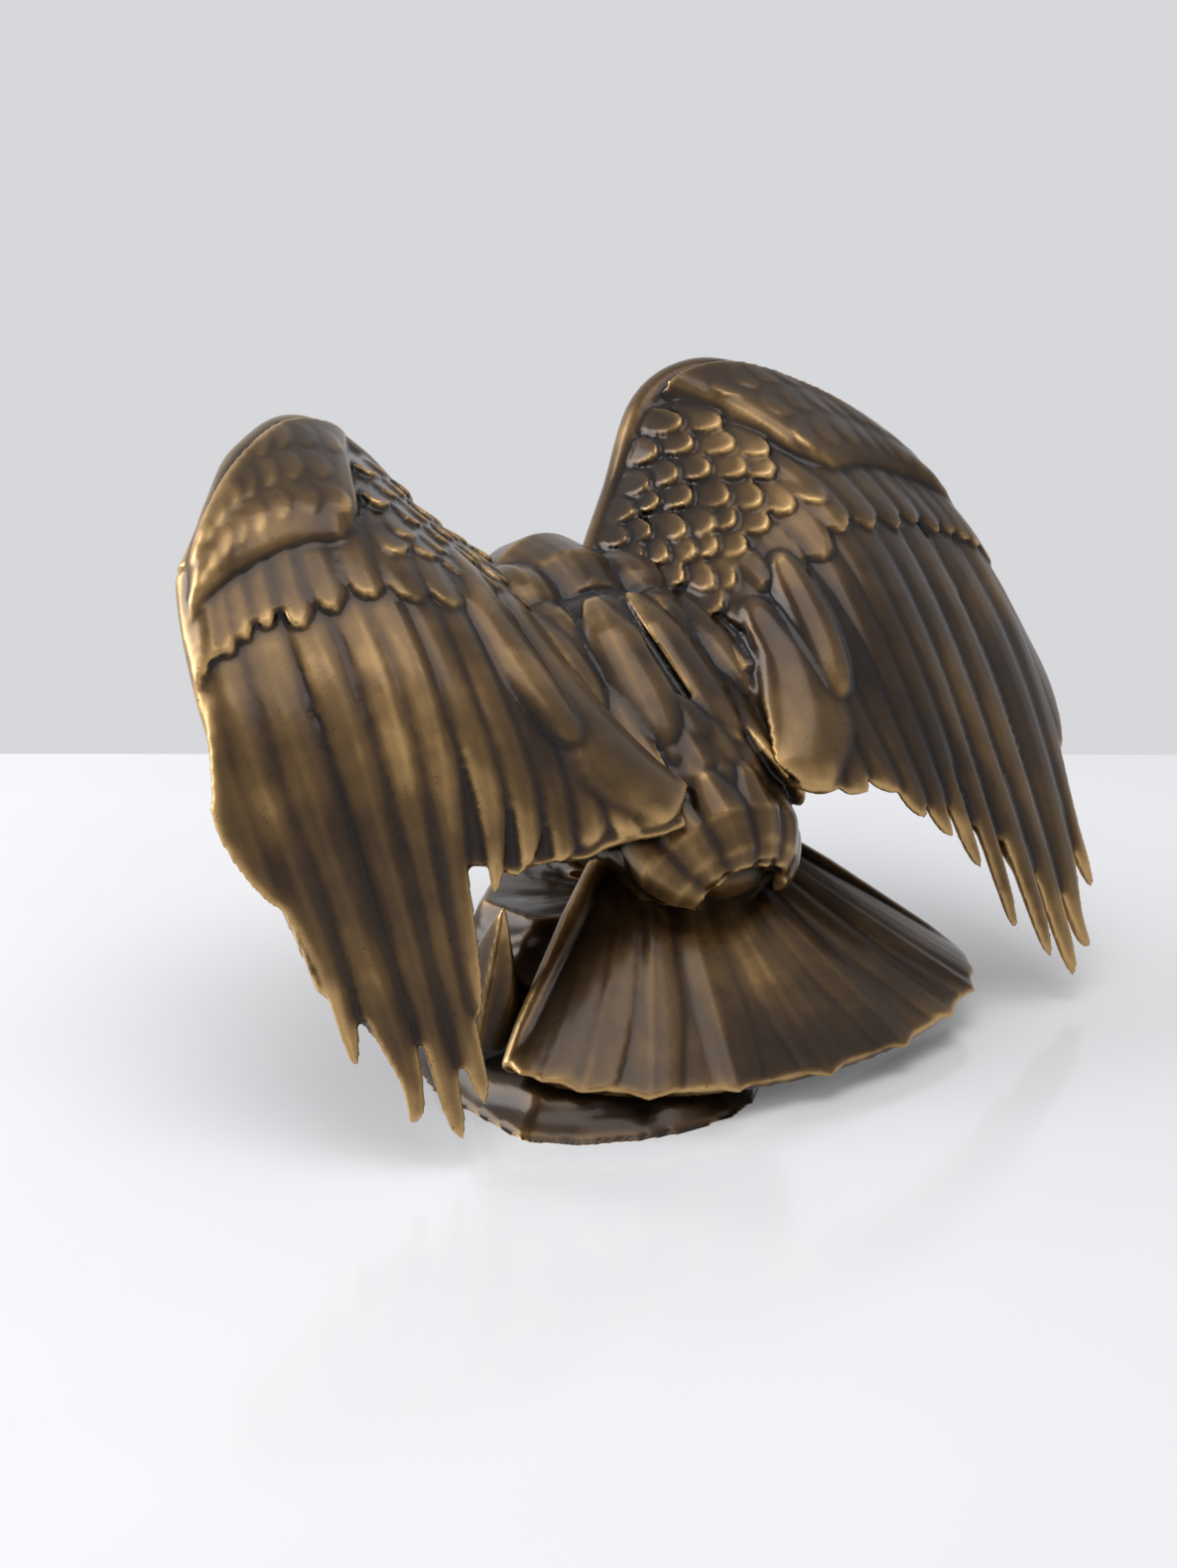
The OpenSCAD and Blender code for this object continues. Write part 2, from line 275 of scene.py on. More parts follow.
def relief(piece):
    """Stores how far each point stands above or below its surroundings, at two scales."""
    mesh = piece.data
    n = len(mesh.vertices)
    co = np.empty(n * 3)
    mesh.vertices.foreach_get("co", co)
    co = co.reshape(-1, 3) / MM
    normal = np.empty(n * 3)
    mesh.vertices.foreach_get("normal", normal)
    normal = normal.reshape(-1, 3)
    edges = np.empty(len(mesh.edges) * 2, int)
    mesh.edges.foreach_get("vertices", edges)
    a, b = edges.reshape(-1, 2).T
    both = np.concatenate([a, b])
    other = np.concatenate([b, a])
    degree = np.bincount(both, minlength=n)[:, None]

    def spread(values):
        sums = [np.bincount(both, column[other], minlength=n) for column in values.T]
        return np.stack(sums, 1) / degree

    def store(key, values):
        layer = mesh.attributes.new(key, "FLOAT", "POINT")
        layer.data.foreach_set("value", values.astype(np.float32))

    soft = co.copy()
    for step in range(BROAD_STEPS):
        soft = spread(soft)
        if step == FINE_STEPS - 1:
            fine = ((co - soft) * normal).sum(1)
    broad = ((co - soft) * normal).sum(1)
    fine = fine / (np.percentile(np.abs(fine), 90) + 1e-6)
    broad = broad / (np.percentile(np.abs(broad), 90) + 1e-6)
    store("fine", np.clip(0.5 + 0.25 * fine, 0, 1))
    store("broad", np.clip(0.5 + 0.25 * broad, 0, 1))


# ---------------------------------------------------------------- wings

# Quill lines of the flight feathers, from the outermost inwards: (u, v) points on the wing, then
# half widths in mm from root to tip.
FLIGHT = [
    ([(0.93, 0.30), (0.965, 0.52), (0.99, 0.75)], [4.5, 5.0, 4.0]),
    ([(0.79, 0.33), (0.82, 0.60), (0.89, 0.81), (0.99, 1.00)], [6.0, 7.6, 4.8, 2.4]),
    ([(0.64, 0.36), (0.66, 0.62), (0.75, 0.83), (0.915, 1.03)], [5.6, 7.0, 4.8, 2.2]),
    ([(0.53, 0.38), (0.525, 0.64), (0.61, 0.85), (0.80, 1.01)], [5.2, 6.2, 5.2, 2.8]),
    ([(0.445, 0.40), (0.44, 0.66), (0.51, 0.86), (0.665, 1.0)], [4.8, 5.6, 5.2, 3.0]),
    ([(0.38, 0.42), (0.37, 0.67), (0.415, 0.86), (0.51, 1.0)], [4.6, 5.2, 5.0, 3.4]),
    ([(0.32, 0.43), (0.31, 0.66), (0.335, 0.86), (0.405, 0.98)], [4.4, 4.8, 4.8, 3.8]),
    ([(0.26, 0.44), (0.25, 0.66), (0.265, 0.86), (0.325, 0.985)], [4.4, 4.8, 4.8, 4.0]),
    ([(0.20, 0.45), (0.19, 0.66), (0.20, 0.86), (0.25, 0.99)], [4.2, 4.6, 4.6, 4.0]),
    ([(0.14, 0.46), (0.13, 0.66), (0.135, 0.86), (0.175, 0.975)], [4.2, 4.6, 4.6, 4.0]),
    ([(0.08, 0.46), (0.07, 0.66), (0.07, 0.86), (0.095, 0.985)], [4.2, 4.6, 4.6, 4.0]),
    ([(0.02, 0.48), (0.01, 0.70), (0.00, 0.86), (0.01, 0.975)], [4.2, 4.8, 4.6, 4.0]),
]
# How far the left wing's inner feathers reach, by u, as a share of the right wing's.
LEFT_REACH_U = [0.0, 0.20, 0.33, 0.42, 0.52, 0.65, 1.0]
LEFT_REACH_V = [1.0, 0.98, 0.92, 0.90, 0.94, 1.0, 1.0]
# Where the flight feathers leave the solid web of the wing, as a share of the wing's length.
WEB_U = [-0.1, 0.36, 0.50, 0.60, 0.68, 0.75, 0.90, 1.00]
WEB_V = [0.95, 0.94, 0.90, 0.84, 0.76, 0.70, 0.66, 0.62]
# The lower edge of the coverts, by u.
COVERT_U = [-0.1, 0.05, 0.14, 0.24, 0.32, 0.41, 0.50, 0.60, 0.70, 0.83, 1.0]
COVERT_V = [0.50, 0.50, 0.49, 0.52, 0.50, 0.47, 0.44, 0.40, 0.375, 0.335, 0.32]
ALULA_U = 0.36


def wing_thickness(v):
    return ramp(v, [0, 0.12, 1], [6.2, 4.4, 2.0])


def build_wing(name, drop, flip):
    wing = wing_surface(drop)
    clay = Clay()
    us = np.linspace(-0.06, 0.985, 48)
    vs = np.linspace(0.0, 1.0, 36)
    u, v = np.meshgrid(us, vs, indexing="ij")
    if drop:
        v = v * np.maximum(ramp(u, WEB_U, WEB_V), ramp(u, [0.36, 0.48], [0.99, 0.88]))
        v = v * ramp(u, LEFT_REACH_U, LEFT_REACH_V)
    else:
        v = v * ramp(u, WEB_U, WEB_V)
    point, normal, _, _ = wing.at(u, v)
    deep = wing_thickness(v)[..., None]
    clay.loops(np.concatenate([point - normal * 0.4, (point - normal * deep)[:, ::-1]], 1))

    # The thick rounded leading edge, fattest at the wrist.
    along = np.linspace(-0.04, 0.99, 44)
    edge, normal, _, _ = wing.at(along, 0 * along)
    inner, _, _, _ = wing.at(along, 0 * along + 0.1)
    out = edge - inner
    out /= np.linalg.norm(out, axis=1, keepdims=True)
    radius = ramp(along, [-0.04, 0.15, 0.35, 0.6, 0.85, 0.99], [3.6, 4.4, 5.6, 5.4, 4.2, 3.0])
    reach = ramp(along, [-0.04, 0.2, 0.4, 0.7, 0.99], [0.5, 2.0, 3.4, 2.6, 1.4])
    clay.tube(edge + out * reach[:, None] - normal * (radius * 0.82)[:, None], radius, 18)

    # The arm's inner edge, rolled over to the shoulder.
    down = np.linspace(0, 0.55, 20)
    rim, normal, _, _ = wing.at(0 * down - 0.045, down)
    clay.tube(rim - normal * 2.0, ramp(down, [0, 0.2, 0.55], [4.6, 4.2, 3.0]), 14)

    # The outer hand's edge, rolled over down to the first long feather.
    down = np.linspace(0, 0.70, 24)
    rim, normal, _, _ = wing.at(0 * down + 0.985, down)
    clay.tube(rim - normal * 1.8, ramp(down, [0, 0.3, 0.7], [3.0, 2.6, 1.8]), 12)

    for k, (path, width) in enumerate(FLIGHT):
        t = np.linspace(0, 1, 44)
        path = through(path, t)
        if drop:
            path[:, 1] *= ramp(path[:, 0], LEFT_REACH_U, LEFT_REACH_V)
            path[:, 0] += 0.05 * np.exp(-((path[-1, 0] - 0.51) / 0.06) ** 2) * t ** 3
        outer = k < 6
        clay.feather(wing, path, width, rise=0.80 if outer else 0.70, lift=0.35, tilt=0.42,
                     depth=2.2 if outer else 1.8, quill=0.14, blunt=0.30 if outer else 0.12)

    def row(tips, us, length, half, rise, tilt, lift, quill, blunt, rim=0.0):
        for u in us:
            end = tips(u)
            wobble = 0.012 * rng.standard_normal()
            t = np.linspace(0, 1, 16)
            path = np.stack([u + 0 * t, np.maximum(end + wobble - length * (1 - t), 0.012 * t)], -1)
            clay.feather(wing, path, [half * 0.8, half, half * 0.9], rise=rise, lift=lift, tilt=tilt,
                         quill=quill, depth=1.5, blunt=blunt, rim=rim)

    def coverts(u):
        return float(ramp(u, COVERT_U, COVERT_V))

    # The large coverts that end in a scalloped line across the wing.
    row(coverts, np.arange(0.05, 1.0, 0.070), 0.24, 4.9, 0.45, tilt=0.35, lift=1.3, quill=0.12, blunt=0.26)

    # Fish scales on the inner arm, up to the edge of the hand.
    for k in range(6):
        shift = 0.03 * (k % 2)
        end = 0.405 - 0.066 * k
        row(lambda u: end, np.arange(0.02 + shift, 0.36, 0.062), 0.12, 3.9, 0.25, tilt=0.0, lift=1.9,
            quill=0.0, blunt=0.5, rim=0.08 if drop else 0.15)

    # Two smooth lobes lie along the wing's inner edge, over its last feathers.
    start = 0.18 if drop else 0.40
    wide = 1.2 if drop else 1.0
    for path, width, high in [
            ([(0.07, start), (0.03, 0.65), (0.0, 0.975)], [1.0, 6.5, 8.4, 7.6, 5.0], 2.4),
            ([(0.18, start + 0.03), (0.16, 0.55), (0.125, 0.80)], [1.0, 5.5, 6.6, 5.6], 2.6)]:
        width = np.array(width) * wide
        path = through(path, np.linspace(0, 1, 30))
        clay.feather(wing, path, width, rise=high, lift=1.0, tilt=0.3, quill=0.0, depth=2.2, blunt=0.3)

    # The hand: a smooth swelling that ends in a step, covered with fine curved feathers.
    def hand_end(u):
        return ramp(u, [ALULA_U, 0.385, 0.42, 0.5, 0.7, 0.97], [0.20, 0.31, 0.345, 0.32, 0.26, 0.20])

    def swell(u, v):
        inward = np.clip((u - ALULA_U) / 0.06, 0, 1)
        down = np.clip((1 - v / hand_end(u)) / 0.3, 0, 1)
        outward = np.clip((0.98 - u) / 0.25, 0, 1)
        return 3.2 * np.sqrt(inward * (2 - inward) * down * (2 - down) * outward) + 0.1

    u, v = np.meshgrid(np.linspace(ALULA_U, 0.97, 30), np.linspace(0.0, 1.0, 24), indexing="ij")
    v = v * hand_end(u)
    point, normal, _, _ = wing.at(u, v)
    clay.loops(np.concatenate([point + normal * swell(u, v)[..., None], (point - normal * 2.0)[:, ::-1]], 1))
    for k in range(3):
        for u0 in np.arange(0.43 + 0.03 * (k % 2), 0.92, 0.06):
            v1 = 0.86 * float(hand_end(u0)) - 0.085 * k
            if v1 < 0.07:
                continue
            t = np.linspace(0, 1, 16)
            path = np.stack([u0 + 0.09 * (1 - t) ** 1.5 - 0.02, v1 - 0.12 * (1 - t)], -1)
            path[:, 1] = np.maximum(path[:, 1], 0.004)
            clay.feather(wing, path, [2.0, 3.6, 3.3], rise=0.18, lift=0.45, tilt=-0.18, quill=0.0, depth=1.4,
                         blunt=0.5, base=swell(path[:, 0], path[:, 1]) - 0.25, across=9)

    # The hollow side: the same flight feathers seen from below, under two rows of lining feathers.
    def lining_place(u, v):
        point, normal, _, _ = wing.at(-u, v)
        return point - normal * (wing_thickness(v) - 0.2)[..., None]

    lining = Surface(lining_place)
    for path, width in FLIGHT[1:]:
        t = np.linspace(0.02, 0.80, 24)
        path = through(path, t)
        if drop:
            path[:, 1] *= ramp(path[:, 0], LEFT_REACH_U, LEFT_REACH_V)
        path = path * [-1, 1]
        clay.feather(lining, path, width[:3], rise=0.75, lift=0.1, tilt=0.3, quill=0.25, depth=1.2, blunt=0.1)
    for end, length in ((0.44, 0.22), (0.28, 0.18)):
        for u0 in np.arange(0.06, 0.94, 0.07):
            t = np.linspace(0, 1, 14)
            path = np.stack([0 * t - u0, end + 0.02 * math.sin(9 * u0) - length * (1 - t)], -1)
            clay.feather(lining, path, [3.6, 4.6, 4.2], rise=0.5, lift=1.3, quill=0.1, depth=1.2, blunt=0.35)

    # The shoulder, which carries the wing's seat in the body.
    clay.egg((25.5, -25, 79), (10, 15, 15), 20)
    clay.tube([(3.2, -24, 80), (14, -24, 80), (25, -24, 80)], [4.8, 4.8, 12.5], 20)
    return fuse(name, clay, voxel=WING_VOXEL, flip=flip)


# ---------------------------------------------------------------- tail

def build_tail():
    clay = Clay()
    down = np.linspace(0, 0.965, 30)
    clay.slab(tail_surface, np.linspace(-0.99, 0.99, 48), down, 0.1,
              ramp(down, [0, 0.5, 1], [5.0, 2.6, 2.2])[None])
    spots = np.sin(np.linspace(-1, 1, 13) * np.pi / 2 * 0.96) * 0.955
    for k, u in enumerate(sorted(spots, key=lambda q: -abs(q))):
        t = np.linspace(0, 1, 40)
        bend = 0.02 * np.sin(k * 1.7)
        path = np.stack([u * (0.93 + 0.07 * t) + bend * t * (1 - t), 0.02 + 0.975 * t - 0.004 * (k % 3)], -1)
        half = 6.3 if abs(u) < 0.85 else 5.2
        clay.feather(tail_surface, path, [2.8, half * 0.66, half * 0.98, half * 0.90], rise=0.36,
                     lift=0.12, tilt=-0.26 * np.sign(u) * min(1, abs(u) * 3), quill=0.12, depth=1.8,
                     blunt=0.07)
    # Rolled side edges.
    for side in (-1, 1):
        t = np.linspace(0.02, 0.97, 30)
        edge = tail_place(0 * t + 0.985 * side, t)
        clay.tube(edge - [0, 0, 1.6], ramp(t, [0, 0.3, 0.8, 0.97], [2.6, 3.2, 2.8, 1.8]), 14)
    return fuse("tail_fan", clay)


# ---------------------------------------------------------------- body

def plume(clay, u, v0, v1, half, rise, lift):
    """A short feather along the torso, from v0 to v1."""
    t = np.linspace(0, 1, 18)
    path = np.stack([u + 0 * t, v0 + (v1 - v0) * t], -1)
    clay.feather(torso_surface, path, [half * 0.25, half, half * 0.92], rise=rise, lift=lift, quill=0.12,
                 depth=2.2, blunt=0.45, across=9)


def build_body():
    clay = Clay()
    s = np.linspace(-51, 39.5, 40)
    spine = TORSO_MID + TORSO_AXIS * s[:, None]
    clay.tube(spine, ramp(s, TORSO_S, TORSO_R) - 1.3, 48, up=TORSO_UP)
    # Neck, head, brow and hooked beak, bowed in front of the chest.
    clay.tube([(0, -24, 78), (0, -34, 82), (0, -43, 84), (0, -50, 82), (0, -56, 79)],
              [14, 16, 15, 13.5, 12], 30)
    clay.egg((0, -54.5, 79), (10.8, 12.2, 11.6))
    clay.tube([(0, -58, 80.5), (0, -63, 79.5), (0, -67, 77), (0, -68.6, 73.4), (0, -68.4, 71.2)],
              [5.6, 4.6, 3.2, 1.7, 0.6], 16, up=(1, 0, 0))
    clay.tube([(0, -58, 75), (0, -62.5, 73.6), (0, -65.6, 73.4)], [4.4, 2.9, 1.2], 14, up=(1, 0, 0))
    for side in (-1, 1):
        clay.tube([(side * 8.4, -54, 84.6), (side * 7.8, -60, 84), (side * 4.6, -64.6, 81.6)],
                  [1.5, 2.1, 1.0], 10, up=(1, 0, 0))
        clay.egg((side * 8.2, -60.2, 80.8), (1.9, 1.9, 1.9), sides=12)
        # The shoulder mass in front of each wing seat, and the long feathers over the back.
        clay.egg((side * 15, -30, 82), (12, 15, 13), 10)
        clay.egg((side * 15, -14, 74), (11, 24, 13), 28)
        clay.egg((side * 12, 8, 62), (10, 24, 10), 32)
        clay.egg((side * 20, -8, 77), (10, 24, 8), 24)

    # Hackles down the neck and small feathers round the breast; the back stays smooth.
    for ring, s0 in enumerate(np.arange(-50, -12, 5.5)):
        count = 12 if s0 < -35 else 20
        for k in range(count):
            u = (k + 0.5 * (ring % 2)) / count
            if s0 > -38 and min(u, 1 - u) < 0.20:
                continue
            plume(clay, u, s0 - 8, s0 + 3, 3.4 if s0 < -35 else 4.3, 0.6, 1.0)
    for ring, s0 in enumerate(np.arange(-10, 18, 9.0)):
        for k in range(14):
            u = (k + 0.5 * (ring % 2)) / 14
            if min(u, 1 - u) < 0.20 or (0.36 < u < 0.64 and s0 > 2):
                continue
            plume(clay, u, s0 - 14, s0 + 5, 6.0, 0.8, 0.8)

    clay.egg((0, 28, 40.5), (14, 10, 8.5), 28)

    # Rump: soft uneven lumps that end in lobes over the tail's root.
    for ring, (s0, s1) in enumerate([(2, 17), (8, 23), (14, 29), (20, 34), (26, 39)]):
        for k in range(9):
            u = (k - 4) * 0.062 + 0.031 * (ring % 2) + rng.uniform(-0.012, 0.012)
            plume(clay, u, s0, s1 + rng.uniform(-2.2, 2.2), rng.uniform(3.6, 5.4), 0.9,
                  rng.uniform(0.5, 1.3))
    for k in range(6):
        plume(clay, (k - 2.5) * 0.082, 18, 43 - 2.5 * (k % 2), 5.6, 1.5, 3.6)

    # Long scapular feathers on each side of the back: path, half widths, crown and tip height.
    for side in (-1, 1):
        for path, width, high, lift in [
                ([(0.035, -30), (0.055, -8), (0.07, 14)], [1.5, 7, 8, 7.5], 1.6, 1.0),
                ([(0.10, -36), (0.14, -18), (0.165, -2)], [2, 8, 9.5, 8.5], 2.4, 3.0),
                ([(0.10, -10), (0.135, 10), (0.155, 27)], [2, 7.5, 8.5, 8.0], 2.2, 5.5),
                ([(0.19, -34), (0.215, -14), (0.215, 6)], [2, 7, 8, 7.5], 1.8, 2.0),
                ([(0.19, -6), (0.205, 10), (0.20, 24)], [2, 6, 7, 6.5], 1.6, 3.0)]:
            path = through(np.array(path) * [side, 1], np.linspace(0, 1, 26))
            clay.feather(torso_surface, path, width, rise=high, lift=lift, quill=0.15, depth=5.0, blunt=0.35)
    return fuse("torso_and_head", clay, smooth=4)


# ---------------------------------------------------------------- legs and rock

# The legs' shanks go down through the rock, and the mounting hole is drilled from below; in mm.
LEG_X, LEG_Y = 12, -6
MOUNT_X, MOUNT_Y = 16, 10
SHANK_HOLE_R, SHANK_HOLE_TOP_Z = 3.05, 40.0
MOUNT_HOLE_R, MOUNT_HOLE_TOP_Z = 4.0, 16.0
BORE_FROM_Z = 1.0
ANKLE_Z = 31.2


def build_leg(name, side):
    clay = Clay()
    x, y = LEG_X * side, LEG_Y
    clay.tube([(x, y, 47.5), (x, y, 39), (x, y, 35), (x, y - 0.5, 31)], [3.9, 4.7, 5.0, 3.4], 20)
    clay.tube([(x, y, 8.2), (x, y, 29), (x, y, 31)], [2.9, 2.9, 3.2], 18)
    for turn in (-28, 0, 28, 180):
        a = math.radians(turn)
        d = np.array([math.sin(a) * side, -math.cos(a), 0])
        base = np.array([x, y, ANKLE_Z])
        spots = [base + d * r + [0, 0, z] for r, z in ((0, 1.6), (3.5, 1.6), (6, 0.9), (8, 1.3), (11, 0.2))]
        clay.tube(spots, [2.4, 2.1, 1.7, 2.1, 1.6], 12)
        claw = [base + d * r + [0, 0, z] for r, z in ((10.5, 0.8), (13, 0.9), (15, -0.4), (15.9, -1.6))]
        clay.tube(claw, [1.3, 1.1, 0.7, 0.3], 10)
    for k in range(9):
        a = k / 9 * 2 * math.pi
        p = np.array([x + 4.3 * math.cos(a), y + 4.3 * math.sin(a), 0])
        clay.tube([p + [0, 0, 38], p + [0, 0, 35], p + [0, 0, 31.6]], [1.0, 1.5, 0.5], 8)
    return fuse(name, clay)


ROCK_TOP = 29.0
ROCK_WALL = 4
ROCK_FOOT = np.array([[64, 53], [55, 61], [44, 65.5], [33, 67], [22, 66], [13, 62], [-8, 40], [-27, 13],
                      [-33, -8], [-27, -24], [0, -32], [35, -28], [60, -8], [67, 22]], float)
ROCK_FLAT = np.array([[36, 14], [20, 20], [2, 21], [-14, 12], [-21, -4], [-18, -17], [2, -22], [26, -19],
                      [40, -4]], float)


def ring_radius(outline, centre, angles):
    """How far the outline lies from the centre, in each direction."""
    edge = np.roll(outline, -1, 0) - outline
    d = np.stack([np.cos(angles), np.sin(angles)], -1)
    best = np.zeros(len(angles))
    for p, e in zip(outline - centre, edge):
        cross = d[:, 0] * e[1] - d[:, 1] * e[0]
        cross = np.where(np.abs(cross) < 1e-9, 1e-9, cross)
        r = (p[0] * e[1] - p[1] * e[0]) / cross
        w = (p[0] * d[:, 1] - p[1] * d[:, 0]) / cross
        best = np.where((r > 0) & (w >= -1e-6) & (w <= 1 + 1e-6), np.maximum(best, r), best)
    return best


def build_rock():
    """A hollow mound of weathered rock: strata outside, a plain casting wall inside."""
    centre = np.array([12.0, 8.0])
    a = np.linspace(0, 2 * np.pi, 180, endpoint=False)
    foot = ring_radius(ROCK_FOOT, centre, a)
    flat = ring_radius(ROCK_FLAT, centre, a)
    strata = 0.5 * np.sin(a * 5 + 1) + 0.4 * np.sin(a * 9 + 2.2) + 0.3 * np.sin(a * 17)

    def shell(inset, top, bottom):
        rows = []
        for t in np.linspace(0, 1, 26):
            step = t + 0.022 * np.sin(t * 26 + strata * 1.6) * min(1, 6 * t, 6 * (1 - t)) * (inset == 0)
            r = foot + (flat - foot) * step - inset - (0.35 - 0.35 * strata if inset == 0 else 0)
            rows.append(np.stack([centre[0] + r * np.cos(a), centre[1] + r * np.sin(a),
                                  0 * a + bottom + (top - bottom) * t], -1))
        return rows

    outer = shell(0, ROCK_TOP, 0.0)
    for q in (0.66, 0.33, 0.03):
        ring = outer[25].copy()
        ring[:, :2] = centre + (ring[:, :2] - centre) * q
        ring[:, 2] = ROCK_TOP - 0.3 + 0.25 * strata * (q > 0.1)
        outer.append(ring)
    inner = shell(ROCK_WALL, ROCK_TOP - ROCK_WALL, 0.0)
    cap = inner[25].copy()
    cap[:, :2] = centre + (cap[:, :2] - centre) * 0.02
    clay = Clay()
    clay.loops(np.array([cap] + inner[::-1] + outer))
    # The crag beside the tail's left corner, and the bosses in the hollow.
    crag = np.array([[61, 28], [50, 31], [44, 20], [46, 2], [60, 6]], float)
    peak = np.array([50.0, 24.0])
    rows = []
    for t in np.linspace(0, 1, 14):
        ring = crag + (peak - crag) * (t ** 1.1) * 0.96
        ring = through(np.concatenate([ring, ring[:1]]), np.linspace(0, 1, 41)[:-1])
        rows.append(np.concatenate([ring, np.full((40, 1), 3 + 34.6 * t)], 1))
    clay.loops(np.array(rows))
    for side in (-1, 1):
        clay.tube([(LEG_X * side, LEG_Y, 18), (LEG_X * side, LEG_Y, 26)], 6.9, 28, up=(0, 1, 0))
    clay.tube([(MOUNT_X, MOUNT_Y, 2.2), (MOUNT_X, MOUNT_Y, 26)], 7.9, 32, up=(0, 1, 0))
    rock = fuse("rock_pedestal", clay, voxel=ROCK_VOXEL, smooth=1)
    bore(rock, (MOUNT_X, MOUNT_Y), MOUNT_HOLE_R, BORE_FROM_Z, MOUNT_HOLE_TOP_Z)
    for side in (-1, 1):
        bore(rock, (LEG_X * side, LEG_Y), SHANK_HOLE_R, BORE_FROM_Z, SHANK_HOLE_TOP_Z)
    return rock


def bore(piece, spot, radius, z0, z1):
    """Drills a vertical hole, in mm."""
    bpy.ops.mesh.primitive_cylinder_add(vertices=48, radius=radius * MM, depth=(z1 - z0) * MM,
                                        location=(spot[0] * MM, spot[1] * MM, (z0 + z1) / 2 * MM))
    drill = bpy.context.object
    cut = piece.modifiers.new("bore", "BOOLEAN")
    cut.object, cut.operation, cut.solver = drill, "DIFFERENCE", "EXACT"
    graph = bpy.context.evaluated_depsgraph_get()
    done = bpy.data.meshes.new_from_object(piece.evaluated_get(graph))
    piece.modifiers.clear()
    old, piece.data = piece.data, done
    bpy.data.meshes.remove(old)
    bpy.data.objects.remove(drill)


# ---------------------------------------------------------------- materials

class Shader:
    """Short calls for building a node material."""

    def __init__(self, name):
        self.material = bpy.data.materials.new(name)
        self.material.use_nodes = True
        self.tree = self.material.node_tree
        self.main = self.tree.nodes["Principled BSDF"]
        self.coords = self.tree.nodes.new("ShaderNodeTexCoord").outputs["Object"]

    def link(self, a, b):
        self.tree.links.new(a, b)

    def noise(self, scale, detail=4.0, rough=0.55, stretch=None):
        node = self.tree.nodes.new("ShaderNodeTexNoise")
        node.inputs["Scale"].default_value = scale
        node.inputs["Detail"].default_value = detail
        node.inputs["Roughness"].default_value = rough
        if stretch:
            scaled = self.tree.nodes.new("ShaderNodeMapping")
            scaled.inputs["Scale"].default_value = stretch
            self.link(self.coords, scaled.inputs["Vector"])
            self.link(scaled.outputs["Vector"], node.inputs["Vector"])
        else:
            self.link(self.coords, node.inputs["Vector"])
        return node.outputs["Fac"]

    def stored(self, key):
        node = self.tree.nodes.new("ShaderNodeAttribute")
        node.attribute_name = key
        return node.outputs["Fac"]

    def math(self, kind, a, b):
        node = self.tree.nodes.new("ShaderNodeMath")
        node.operation = kind
        for socket, value in zip(node.inputs, (a, b)):
            if isinstance(value, (int, float)):
                socket.default_value = value
            else:
                self.link(value, socket)
        return node.outputs[0]

    def span(self, value, a, b, low=0.0, high=1.0):
        node = self.tree.nodes.new("ShaderNodeMapRange")
        for key, number in (("From Min", a), ("From Max", b), ("To Min", low), ("To Max", high)):
            node.inputs[key].default_value = number
        self.link(value, node.inputs["Value"])
        return node.outputs["Result"]

    def colours(self, value, stops):
        node = self.tree.nodes.new("ShaderNodeValToRGB")
        ramp_stops = node.color_ramp.elements
        while len(ramp_stops) < len(stops):
            ramp_stops.new(0.5)
        for stop, (spot, colour) in zip(ramp_stops, stops):
            stop.position = spot
            stop.color = (*colour, 1)
        self.link(value, node.inputs["Fac"])
        return node.outputs["Color"]

    def bump(self, height, strength, distance):
        node = self.tree.nodes.new("ShaderNodeBump")
        node.inputs["Strength"].default_value = strength
        node.inputs["Distance"].default_value = distance
        self.link(height, node.inputs["Height"])
        self.link(node.outputs["Normal"], self.main.inputs["Normal"])


# The patina's colours from the hollows to the rubbed edges, then the plating's and the table's.
RECESS = (0.0042, 0.0034, 0.0032)
SHADE = (0.015, 0.0080, 0.0040)
BRONZE = (0.042, 0.021, 0.0068)
RUBBED = (0.122, 0.067, 0.020)
BARE = (0.500, 0.310, 0.120)
STEEL_DULL = (0.20, 0.19, 0.17)
STEEL = (0.50, 0.49, 0.46)
STEEL_BRIGHT = (0.62, 0.61, 0.59)
TABLE_COOL = (0.73, 0.735, 0.745)
TABLE_PALE = (0.77, 0.77, 0.775)


# How much each scale of relief decides between hollow and rubbed.
FINE_SHARE, BROAD_SHARE = 0.50, 0.42


